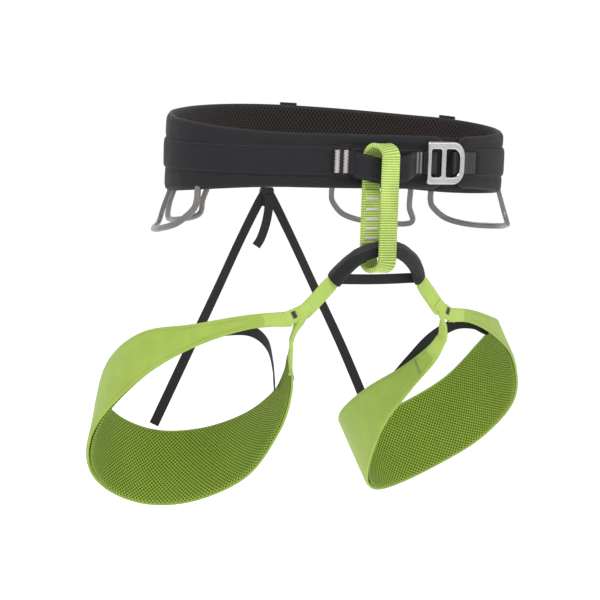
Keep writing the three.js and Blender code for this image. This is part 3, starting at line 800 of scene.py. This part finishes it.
def build_tacks(side, places, reach, width, count, look):
    """Dense bar tacks standing across the tie-in webbing, one at each of the places along it."""
    rows = []
    for s in places:
        a, o = belt_axes(np.array([s]))
        rows.append(zigzag(belt(s, WEB_FACE, -reach), belt(s, WEB_FACE, reach), a[0], o[0], width, count))
    sew(f"tie_in_tack_{side}", rows, 0.24, look, "waist_belt", [f"tie_in_stitch_{side}"])


# ---- buckle ----
SLOT_HALF, BUCKLE_WEB_W, BUCKLE_WEB_T = 12.2, 19.2, 1.5


def rounded(x0, x1, z_half, radii, n=10):
    """Closed outline of a rectangle about z = 0, with its own radius at each corner."""
    pts = []
    for q, r in enumerate(radii):
        x = x1 - r if q in (0, 3) else x0 + r
        z = z_half - r if q < 2 else r - z_half
        for a in (q + np.arange(n + 1) / n) * math.pi / 2:
            pts.append((x + r * math.cos(a), z + r * math.sin(a)))
    return pts


def cut_plate(name, outlines, thick, bevel):
    """Flat plate with openings and rounded edges, in its own plane."""
    curve = bpy.data.curves.new(name, "CURVE")
    curve.dimensions = "2D"
    curve.fill_mode = "BOTH"
    curve.extrude = (thick / 2 - bevel) * MM
    curve.bevel_depth = bevel * MM
    curve.bevel_resolution = 4
    curve.offset = -bevel * MM * 0.9
    for pts in outlines:
        spline = curve.splines.new("POLY")
        spline.points.add(len(pts) - 1)
        for p, (x, z) in zip(spline.points, pts):
            p.co = (x * MM, z * MM, 0, 1)
        spline.use_cyclic_u = True
    ob = add_object(name, curve)
    depsgraph = bpy.context.evaluated_depsgraph_get()
    me = bpy.data.meshes.new_from_object(ob.evaluated_get(depsgraph))
    bpy.data.objects.remove(ob)
    return add_object(name, me)


def build_buckle():
    a, o = (axis[0] for axis in belt_axes(np.array([BUCKLE_S])))
    c = belt(np.array([BUCKLE_S]), BUCKLE_OUT, 0)[0]
    outer = rounded(-BUCKLE_W / 2, BUCKLE_W / 2, BUCKLE_H / 2, (12.5, 3.5, 3.5, 12.5))
    left = rounded(-17.2, -5.4, SLOT_HALF, (1.4, 2.2, 2.2, 1.4), 6)
    right = rounded(-0.2, 15.9, SLOT_HALF, (7.5, 1.4, 1.4, 7.5), 8)
    ring = cut_plate("buckle_ring", [outer, left[::-1], right[::-1]], BUCKLE_T, 1.45)
    place = Matrix((a, UP, o)).transposed().to_4x4()
    place.translation = Vector((c + o * BUCKLE_T / 2) * MM)
    ring.data.transform(place)
    ring.data.update()
    for p in ring.data.polygons:
        p.use_smooth = True
    dress(ring, "metal", "buckle", ["buckle_frame"])

    def at(points):
        """Points from (along the belt, off the frame's back face)."""
        return [c + a * x + o * out for x, out in points]

    anchor = at([(-21.4, -3.3), (-19.5, -3.1), (-17, -2.7), (-14, -1.4), (-11.4, 0.2), (-9.8, 1.7)])
    adjust = at([(9.4, 3.4), (9.4, 1.4), (11.2, -1.2), (16.5, -2.9), (22, -3.2)])
    adjust += [belt(BUCKLE_S + x, BUCKLE_OUT - 3.6, 0) for x in (30, 36, 42)]
    for name, path in (("anchor", smooth(anchor, 60, 120)), ("adjust", smooth(adjust, 110, 200))):
        web = strap(f"{name}_web", path, UP, BUCKLE_WEB_W, BUCKLE_WEB_T, rim=0.15)
        dress(web, "grey_web", "waist_belt", [f"{name}_webbing"])


# ---- gear loops ----
LOOP_SHAPE = [(0, 0), (0.03, 0.5), (0.0, 0.86), (0.07, 1.0), (0.3, 1.05), (0.62, 1.02), (0.84, 0.86),
              (0.96, 0.52), (0.98, 0.25), (0.97, 0)]
LOOP_LEAN, LOOP_SIDES = 0.32, 24


def loop_path(s0, s1, drop):
    """Middle line of a gear loop's bar, with both ends inside the belt."""
    def at(a, out, down):
        s = s0 + (s1 - s0) * a
        return belt(s, out, -half(s) - down)

    pts = [at(a, 2.4 + drop * b * LOOP_LEAN, 2.2 + drop * b) for a, b in LOOP_SHAPE]
    return smooth([at(0.002, 1.2, -2.6)] + pts + [at(0.968, 1.2, -2.6)], 210)


def rounder(x, power=0.62):
    """Flattens a cosine or sine, so that a circle becomes a soft square."""
    return np.sign(x) * np.abs(x) ** power


def build_gear_loops():
    for name, s0, s1, drop, _, _ in GEAR_LOOPS:
        path = loop_path(s0, s1, drop)
        t = along(path)
        outwards = belt_axes(np.linspace(s0, s1, len(path)))[1]
        side = unit(outwards + UP * LOOP_LEAN)
        side = unit(side - t * np.sum(side * t, 1, keepdims=True))
        other = np.cross(t, side)
        turn = circle(LOOP_SIDES)
        uneven = 1 + 0.02 * ripple(path, 0.06, 7.0)[:, None, None]
        thick = side[:, None] * (rounder(np.cos(turn)) * LOOP_BAR_T / 2)[None, :, None] * uneven
        deep = other[:, None] * (rounder(np.sin(turn)) * LOOP_BAR / 2)[None, :, None] * uneven
        run = np.linspace(0, 16, LOOP_SIDES + 1)
        bar = skin(f"gear_loop_{name}_bar", path[:, None] + thick + deep, lengths(path), run)
        dress(bar, "plastic", f"gear_loop_{name}", [f"gear_loop_{name}"])


# ---- belay loop ----
def stadium(n, r):
    """Closed path of the belay loop, starting at the top of the front run."""
    straight = BELAY_TOP - BELAY_LOW
    lap = straight + math.pi * r
    rear, d = np.divmod(np.linspace(0, 2 * lap, n + 1)[:-1], lap)
    turn = np.maximum(d - straight, 0) / r
    y = BELAY_Y + (2 * rear - 1) * r * np.cos(turn)
    run = np.minimum(d, straight) + r * np.sin(turn)
    z = np.where(rear, BELAY_LOW + run, BELAY_TOP - run)
    return np.stack([BELAY_X - BELAY_SKEW * (y - BELAY_Y) / BELAY_R, y, z], 1)


def build_belay():
    across = (1, 0, 0)
    web = strap("belay_loop_web", stadium(1400, BELAY_R), across, BELAY_W, BELAY_T - 0.35, closed=True,
                edge=1.2, rim=0.12, rib=0.34, pitch=2.1, count=16)
    dress(web, "lime_web", "seat", ["belay_loop"])
    z = np.linspace(-24, -70, 200)
    rear_x, rear_y = BELAY_X - BELAY_SKEW, BELAY_Y + BELAY_R
    path = np.stack(np.broadcast_arrays(rear_x, rear_y - BELAY_T / 2 - 0.9, z), 1)
    lap = strap("belay_loop_lap", path, across, BELAY_W - 1, 1.5, rib=0.2, pitch=2.1)
    dress(lap, "lime_web", "seat", ["belay_overlap"])
    rows = []
    for height in (-31, -40.5, -49, -57, -65):
        for y, facing in ((rear_y - BELAY_T / 2 - 1.85, -1), (rear_y + BELAY_T / 2 + 0.1, 1)):
            a, b = (np.array([rear_x + x, y, height]) for x in (-6.2, 6.2))
            rows.append(zigzag(a, b, UP, np.array([0, facing, 0.0]), 2.5, 36))
    sew("belay_tacks", rows, 0.26, "white_thread", "seat")


# ---- crosspiece ----
SLEEVE_HALF, SLEEVE_DEEP, SLEEVE_SIDES = 6.6, 4.6, 48


def build_crosspiece():
    q = np.linspace(0, 1, 240)
    path = catmull(CROSS, np.linspace(0.015, 0.985, len(q)))
    tang = along(path)
    a = unit(UP - tang * tang[:, 2:3])
    o = np.cross(tang, a)
    high = SLEEVE_HALF * (1 + 0.18 * (1 - np.sin(math.pi * q)))
    hem = 1 + 0.035 * (np.exp(-((q - 0.035) / 0.02) ** 2) + np.exp(-((q - 0.965) / 0.02) ** 2))
    turn = circle(SLEEVE_SIDES)
    up = a[:, None] * np.cos(turn)[None, :, None]
    front = o[:, None] * np.sin(turn)[None, :, None]
    rings = path[:, None] + up * (high * hem)[:, None, None] + front * (SLEEVE_DEEP * hem)[:, None, None]
    crumple = ripple(rings, 0.12, 5.0) * 0.35 + ripple(rings, 0.3, 8.0) * 0.12
    rings = rings + (up + front) * crumple[..., None]
    tube = skin("crosspiece_cover", rings, lengths(path), np.linspace(0, 36, SLEEVE_SIDES + 1))
    dress(tube, "sleeve", "seat", ["crosspiece_sleeve", "crosspiece_core"])
    inner = slice(6, -6)
    build_sleeve_band(path[inner], a[inner], o[inner], high[inner])
    rows = []
    for angle in (-0.86, 1.1, 2.6, 3.9):
        over = 0.75 if -1 < angle < 1.3 else 0.2
        sin, cos = math.sin(angle), math.cos(angle)
        line = path + a * (high + over)[:, None] * cos + o * (SLEEVE_DEEP + over) * sin
        n = unit(a * cos + o * sin)
        rows.append(seam(line[14:-14], n[14:-14], 1.8, 0.8))
    sew("crosspiece_stitching", rows, 0.18, "black_thread", "seat")
    route = [(-41, -107.6, -102.5), (0, -110, -103), (41, -107.6, -102.5)]
    ribbon("keeper_elastic", route, 120, 90, UP, 9, 1.5, "elastic", ["keeper_strap"], "seat")


def build_sleeve_band(path, a, o, high):
    """Coarser band over the top of the sleeve."""
    count = 26
    arc = np.linspace(-1.0, 1.25, count)
    arc = np.concatenate([arc, arc[::-1]])
    lay = np.concatenate([np.full(count, 0.55), np.full(count, -0.4)])
    lay[[0, count - 1]] = 0.15
    crumple = ripple(path, 0.15, 11.0) + 0.5 * ripple(path, 0.4, 13.0)
    off = (lay[None] + crumple[:, None] * 0.25)[..., None]
    strip = path[:, None] + a[:, None] * (high[:, None, None] + off) * np.cos(arc)[None, :, None]
    strip = strip + o[:, None] * (SLEEVE_DEEP + off) * np.sin(arc)[None, :, None]
    dress(skin("crosspiece_band", strip, lengths(path), across_run(arc, 6)), "coarse", "seat")


# ---- leg loops ----
LINING_START, LINING_END = 0.004 + 0.981 * 5 / 48, 0.004 + 0.981 * 44 / 48
TACK_AT = 11.35 / 13
# Each arm: places on the band, directions across its first two points, those points, first width.
ARMS = {
    "outer": ((0.012, 0.026, 0.042, 0.06), [(0.43, 0, 0.90), (0.20, 0.05, 0.97)],
              [(60, -110.2, -121.4), (67.5, -108.6, -128.6)], 12.2),
    "inner": ((0.974, 0.95, 0.92, 0.885), [(0.34, 0, 0.94), (0.38, 0.2, 0.90)],
              [(63.5, -110.2, -125.0), (70.5, -109.0, -131.6)], 11.0),
}


def leg_band(sx, t):
    """Upper and lower edges, across and outward directions of a leg band."""
    up = mirror(catmull(LEG_UPPER, t), sx)
    low = mirror(catmull(LEG_LOWER, t), sx)
    across = unit(up - low)
    n = unit(np.cross(across, along((up + low) / 2)))
    out = (up + low) / 2 - mirror(LEG_CENTRE, sx)
    out[:, 2] = 0
    return up, low, across, n * np.sign(np.sum(n * out, 1, keepdims=True))


def pad_share(t):
    """1 where the leg band is a full pad, 0 where it is a bare strap."""
    return step(t, 0.1, 0.32) * (1 - step(t, 0.76, 0.94))


def quarter(edge, reach):
    """Share of the way in from an edge, 1 at reach from it, and a quarter round's height there."""
    e = np.clip(edge / reach, 0, 1)
    return e, np.sqrt(1 - (1 - e) ** 2)


def build_leg_arms(side, sx):
    """The two arms of a leg loop gathered onto the link, and its small plain tag."""
    body = f"{side}_leg"
    for part, (spots, turns, lead, tone) in ARMS.items():
        up, low, across, n = leg_band(sx, np.array(spots))
        middle = (up + low) / 2 + n * np.array([1.3, 1.25, 1.1, -0.2])[:, None]
        path = smooth(np.vstack([mirror(lead, sx), middle]), 160, 260)
        q = np.linspace(0, 1, len(path))
        wide = unit(catmull(np.vstack([unit(mirror(turns, sx)), across]), q))
        band = np.clip(np.linalg.norm(up - low, axis=1), 8.0, 30) * 0.96
        widths = np.concatenate([[tone, tone * 0.96], band])
        width = catmull(widths[:, None], q)[:, 0] * (1 - 0.12 * step(q, 0.7, 1.0))
        arm = strap(f"leg_{side}_{part}_arm", path, wide, 12.0, 3.0, edge=1.2, wide=width / 12.0, count=14)
        dress(arm, "lime_soft", body)
        if part == "outer":
            a, o = frames(path, wide)
            sign = np.sign(np.sum(o[60] * n[0]))
            k = slice(58, 70)
            tag = strap(f"leg_{side}_tag", path[k] + o[k] * (sign * 1.75) + a[k], wide[k], 6.2, 0.8, edge=0.3)
            dress(tag, "label", body)


def leg_layer(name, look, body, nodes, sx, t, face, back, inset, rows=34):
    """Padded layer of a leg loop, with its face's and back's offsets from the middle surface."""
    up, low, across, n = leg_band(sx, t)
    reach = np.linalg.norm(up - low, axis=1) / 2 - inset
    x = crowd(there_and_back(np.linspace(-1, 1, rows), 10), 1.3)
    middle = (up + low) / 2
    edge = reach[:, None] * (1 - np.abs(x))[None]
    pos = middle[:, None] + across[:, None] * (reach[:, None] * x[None])[..., None]
    is_face = np.arange(len(x)) < rows
    off = np.where(is_face[None], face(t[:, None], edge, pos), back)
    run = np.append(x, x[0]) * 45
    layer = skin(name, pos + n[:, None] * off[..., None], lengths(middle), run - run.min())
    dress(layer, look, body, nodes)


def build_leg(side, sx):
    body = f"{side}_leg"

    def face(t, edge, pos):
        e, rise = quarter(edge, 5.5)
        pad = pad_share(t)
        wave = ripple(pos, 0.03, 1.0 + sx) * 0.5 * pad + ripple(pos, 0.09, 2.0 + sx) * 0.12
        return 0.9 + (1.3 + 1.4 * pad) * rise + wave * e

    def inner(t, edge, pos):
        e, rise = quarter(edge, 5.0)
        return -(0.6 + (0.8 + 1.8 * pad_share(t)) * rise) + 0.15 * ripple(pos, 0.05, 6.0) * e

    t = np.linspace(0.004, 0.985, 420)
    leg_layer(f"leg_{side}_face", "lime", body, [f"leg_shell_{side}"], sx, t, face, 0.2, 0.0)
    lined = np.linspace(LINING_START, LINING_END, 380)
    leg_layer(f"leg_{side}_mesh", "lime_mesh", body, [f"leg_liner_{side}"], sx, lined, inner, -0.2, 1.6)
    up, low, across, n = leg_band(sx, t)
    lift = n * (2.4 + 1.0 * pad_share(t))[:, None]
    sewn = slice(30, 400)
    lines = (low + across * 3.4 + lift, up - across * 3.4 + lift)
    rows = [seam(line[sewn], n[sewn], 2.0, 1.0) for line in lines]
    sew(f"leg_{side}_stitching", rows, 0.13, "green_thread", body)
    build_link(side, sx)
    build_leg_arms(side, sx)
    route = [(152.5, -62.5, -157.5), (146, -62, -156), (128, -70, -150), (104, -76, -150),
             (84, -70, -163), (70, -56, -186), (61, -42, -206)]
    ribbon(f"thigh_elastic_{side}", mirror(route, sx), 200, 140, (0, 0.25, 1), 10, 1.2, "elastic",
           [f"leg_elastic_{side}"], body)
    build_leg_tack(side, sx)


def build_leg_tack(side, sx):
    """Bar tack across the leg band, next to its inner arm."""
    up, low, across, n = (rows[1] for rows in leg_band(sx, TACK_AT + np.array([-0.004, 0, 0.004])))
    inset, lift = across * 2.4, n * 3.25
    rows = [zigzag(low + inset + lift, up - inset + lift, np.cross(n, across), n, 2.4, 60)]
    sew(f"leg_{side}_tack", rows, 0.22, "green_thread", f"{side}_leg", [f"leg_tack_{side}"])


def build_link(side, sx):
    """Doubled webbing from the crosspiece sleeve to the leg loop, curved across the joint."""
    route = [(38.5, -117.5, -96.5), (45.4, -112.8, -105.4), (57, -110.6, -118.4), (66, -108.7, -128.2),
             (69.5, -107.9, -131.2)]
    path = smooth(mirror(route, sx), 200)
    q = np.linspace(0, 1, len(path))
    sideways = sx * (0.62 - 0.54 * step(q, 0.2, 1.16))
    wide = np.stack([sideways, 0.42 * (1 - step(q, 0.07, 0.54)), np.full_like(q, 0.70)], 1)
    taper = 0.72 + 0.28 * step(q, 0.07, 0.33)
    for name, off in (("front", 0.2 + LINK_T / 2), ("back", -0.2 - LINK_T / 2)):
        layer = strap(f"link_{side}_{name}", path, wide, LINK_W, LINK_T, offset=sx * off, edge=0.7,
                      rim=0.15, rib=0.05, pitch=1.3, count=12, wide=taper)
        dress(layer, "lime_soft", None, [f"leg_link_{name}_{side}"])
        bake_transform(layer)


# ---- rear risers ----
RISER_CUT = 200
BAR = np.array([0.0, 106.0, -38.0])


def build_risers():
    """Each riser is two pieces: one from the belt to half way, and one from there to the leg."""
    for side, sx in (("left", 1), ("right", -1)):
        route = [(0.5, 105.6 + 1.1 * sx, -39.5), (6.5, 105.6 + 0.6 * sx, -46), (28, 103, -85), (54, 99, -135),
                 (84, 95, -192), (118, 93.5, -260)]
        path = smooth(mirror(route, sx), 420, 600)
        q = np.linspace(0, 1, len(path))
        wide = np.stack([np.ones_like(q), 0.12 * np.sin(q * 5), 0 * q], 1)
        cut = tuple(path[RISER_CUT] * MM)
        for name, k, bodies, ends in (
                ("upper", slice(None, RISER_CUT + 1), ("waist_belt", "seat"), (tuple(path[10] * MM), cut)),
                ("lower", slice(RISER_CUT, None), ("seat", f"{side}_leg"), (cut, tuple(path[-8] * MM)))):
            piece = strap(f"riser_{side}_{name}", path[k], wide[k], RISER_W, RISER_T - 0.2)
            dress(piece, "elastic", None, [f"riser_{side}"])
            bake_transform(piece)


def build_riser_top():
    """Strap folded over the bar behind the belt, its free tail, the hanger and the bar."""
    r = 2.5
    over = [BAR + np.array([0, -r * math.cos(a), r * math.sin(a)]) for a in np.linspace(0, math.pi, 15)]
    front = [BAR + np.array([0.6, -r - 0.1, z]) for z in (-15, -10, -5)]
    rear = [BAR + np.array([-0.6, r + 0.1, z]) for z in (-5, -10, -15)]
    fold = strap("riser_fold", even(np.array(front + over + rear), 90), (1, 0, 0), 12.6, 1.4)
    dress(fold, "black_web", "waist_belt")
    route = [(0, 102.2, -42), (0.5, 101.6, -55), (-1.5, 102.5, -70), (-5.5, 104.0, -84), (-10, 105.0, -92)]
    ribbon("riser_tail", route, 160, 100, (1, 0, 0.15), 9.5, 1.3, "black_web")
    route = [(-3.5, 110.5, -26), (-3.5, 108.8, -31), (-3.5, 106.6, -35.2), (-3.5, 103.2, -38.5),
             (-3.5, 102.8, -46)]
    ribbon("riser_hook", route, 120, 70, (1, 0, 0), 4.6, 1.3, "elastic", ["riser_hanger"])
    rings = []
    for x in np.linspace(-7.6, 7.6, 40):
        r = 1.55 * (1 - (abs(x) / 7.9) ** 12) ** 0.5
        rings.append([BAR + np.array([x, r * math.cos(a), r * math.sin(a)]) for a in circle(20)])
    bar = skin("riser_triglide", rings, np.linspace(0, 15, 40), np.linspace(0, 9, 21))
    dress(bar, "plastic", "waist_belt", ["riser_bar"])


# ---- stage ----
FLOOR_HALF, FLOOR_Z = 12.0, -0.62
LIGHTS = (("key", (-0.7, -1.1, 2.3), 1.0, 40), ("fill", (1.9, -1.4, 0.8), 1.4, 5),
          ("rim", (0.5, 2.0, 1.6), 1.4, 9))


def build_floor():
    me = bpy.data.meshes.new("floor")
    r, z = FLOOR_HALF, FLOOR_Z
    me.from_pydata([(-r, -r, z), (r, -r, z), (r, r, z), (-r, r, z)], [], [(0, 1, 2, 3)])
    floor = add_object("floor", me)
    paint = Shade("floor_paint")
    me.materials.append(paint.finish((0.9, 0.9, 0.9), 0.9, Emission_Color=(1, 1, 1, 1),
                                     Emission_Strength=0.45))


def build_world():
    """White light from the sides, weaker from straight above and below."""
    w = Shade("studio", "worlds")
    bpy.context.scene.world = w.holder
    axes = w.node("ShaderNodeSeparateXYZ", Vector=w.node("ShaderNodeTexCoord").outputs["Generated"])
    strength = w.ramp(w.math("ABSOLUTE", axes.outputs[2]), 0.42, 0.85, 1.0, 0.35)
    back = w.node("ShaderNodeBackground", Color=(1, 1, 1, 1), Strength=strength)
    w.node("ShaderNodeOutputWorld", Surface=back.outputs[0])


def build_lights():
    for name, at, size, power in LIGHTS:
        light = bpy.data.lights.new(name, "AREA")
        light.shape = "DISK"
        light.size = size
        light.energy = power
        ob = add_object(name, light)
        ob.location = at
        ob.rotation_euler = (Vector((0, 0, -0.15)) - Vector(at)).to_track_quat("-Z", "Y").to_euler()


def build_camera():
    az, el, roll, distance = math.radians(-28), math.radians(6), math.radians(2.0), 1.8
    back = Vector((math.sin(az) * math.cos(el), -math.cos(az) * math.cos(el), math.sin(el)))
    side = Vector((math.cos(az), math.sin(az), 0))
    up = back.cross(side)
    right = side * math.cos(roll) + up * math.sin(roll)
    top = up * math.cos(roll) - side * math.sin(roll)
    target = right * -0.0184 + top * -0.1325
    cam = bpy.data.cameras.new("camera")
    cam.sensor_width = 36
    cam.lens = cam.sensor_width * distance / 0.552
    ob = add_object("camera", cam)
    m = Matrix((right, top, back)).transposed().to_4x4()
    m.translation = target + back * distance
    ob.matrix_world = m
    bpy.context.scene.camera = ob
    bpy.context.scene.view_settings.view_transform = "Standard"


build_belt()
build_tie_in()
build_buckle()
build_gear_loops()
build_belay()
build_crosspiece()
build_leg("left", 1)
build_leg("right", -1)
build_risers()
build_riser_top()
build_floor()
build_world()
build_lights()
build_camera()
